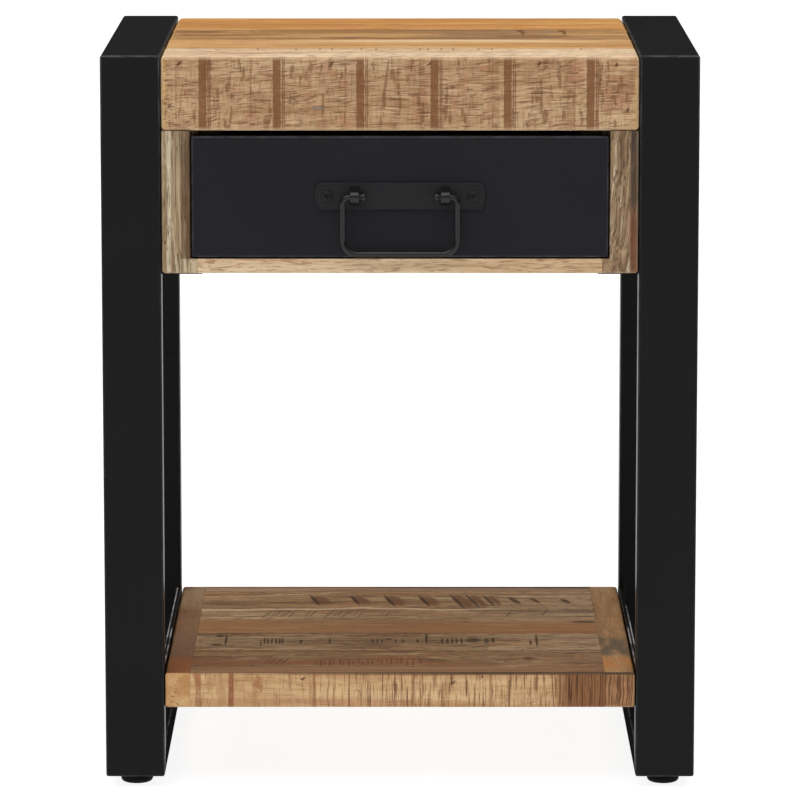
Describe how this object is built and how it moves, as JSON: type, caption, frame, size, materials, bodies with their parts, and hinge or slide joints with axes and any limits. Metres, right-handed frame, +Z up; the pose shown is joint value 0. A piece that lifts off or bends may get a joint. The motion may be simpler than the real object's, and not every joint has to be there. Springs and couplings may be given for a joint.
{
  "type": "side table with drawer",
  "caption": "Side table with closed steel side frames, a thick wooden top, a drawer with a swinging bail handle, and a low open shelf.",
  "frame": {"origin": "on the floor, under the middle of the whole table's width and of its depth with the handle counted", "axes": "+X to the table's right seen from the front, +Y from the drawer front to the back, +Z up"},
  "size_m": [0.4, 0.3129, 0.5],
  "materials": {
    "frame_coat": "black satin powder coat, fine orange peel",
    "drawer_steel": "black satin powder coat, smooth",
    "handle_steel": "black satin paint over forged steel",
    "foot_plastic": "matt black moulded plastic",
    "top_wood": "light oiled mango wood with brown saw marks",
    "case_wood": "greyish tan mango wood, matt",
    "shelf_wood": "brown-grey mango wood with diagonal saw marks",
    "inner_wood": "plain light wood, planed",
    "plywood": "thin light plywood",
    "zinc": "zinc-plated steel"
  },
  "bodies": {
    "table": {"left_front_leg": "frame_coat", "left_rear_leg": "frame_coat", "left_top_rail": "frame_coat", "left_bottom_rail": "frame_coat", "left_shelf_angle": "frame_coat", "left_case_angle": "frame_coat", "left_front_foot": "foot_plastic", "left_rear_foot": "foot_plastic", "left_shelf_rim": "shelf_wood", "left_case_side": "case_wood", "left_runner": "inner_wood", "left_kicker": "inner_wood", "right_front_leg": "frame_coat", "right_rear_leg": "frame_coat", "right_top_rail": "frame_coat", "right_bottom_rail": "frame_coat", "right_shelf_angle": "frame_coat", "right_case_angle": "frame_coat", "right_front_foot": "foot_plastic", "right_rear_foot": "foot_plastic", "right_shelf_rim": "shelf_wood", "right_case_side": "case_wood", "right_runner": "inner_wood", "right_kicker": "inner_wood", "top_stave_1": "top_wood", "shelf_stave_1": "shelf_wood", "top_stave_2": "top_wood", "shelf_stave_2": "shelf_wood", "top_stave_3": "top_wood", "shelf_stave_3": "shelf_wood", "top_stave_4": "top_wood", "shelf_stave_4": "shelf_wood", "shelf_front_rim": "shelf_wood", "shelf_rear_rim": "shelf_wood", "case_bottom": "case_wood", "case_back": "plywood", "drawer_stop": "inner_wood", "shelf_screws": "zinc", "case_screws": "zinc", "top_dowels": "inner_wood"},
    "drawer": {"drawer_front_tray": "drawer_steel", "drawer_front_board": "inner_wood", "left_drawer_side": "inner_wood", "right_drawer_side": "inner_wood", "drawer_back": "inner_wood", "drawer_bottom": "plywood", "drawer_front_screws": "zinc", "drawer_back_screws": "zinc", "handle_plate": "handle_steel", "left_handle_post": "handle_steel", "right_handle_post": "handle_steel", "handle_screws": "handle_steel"},
    "bail": {"handle_bail": "handle_steel"}
  },
  "joints": [
    {"name": "drawer_slide", "type": "slide", "parent": "table", "child": "drawer", "axis": [0, -1, 0], "range_m": [0, 0.2]},
    {"name": "handle_swing", "type": "hinge", "parent": "drawer", "child": "bail", "pos_m": [0, -0.15205, 0.40605], "axis": [-1, 0, 0], "range_deg": [-8, 100]}
  ]
}
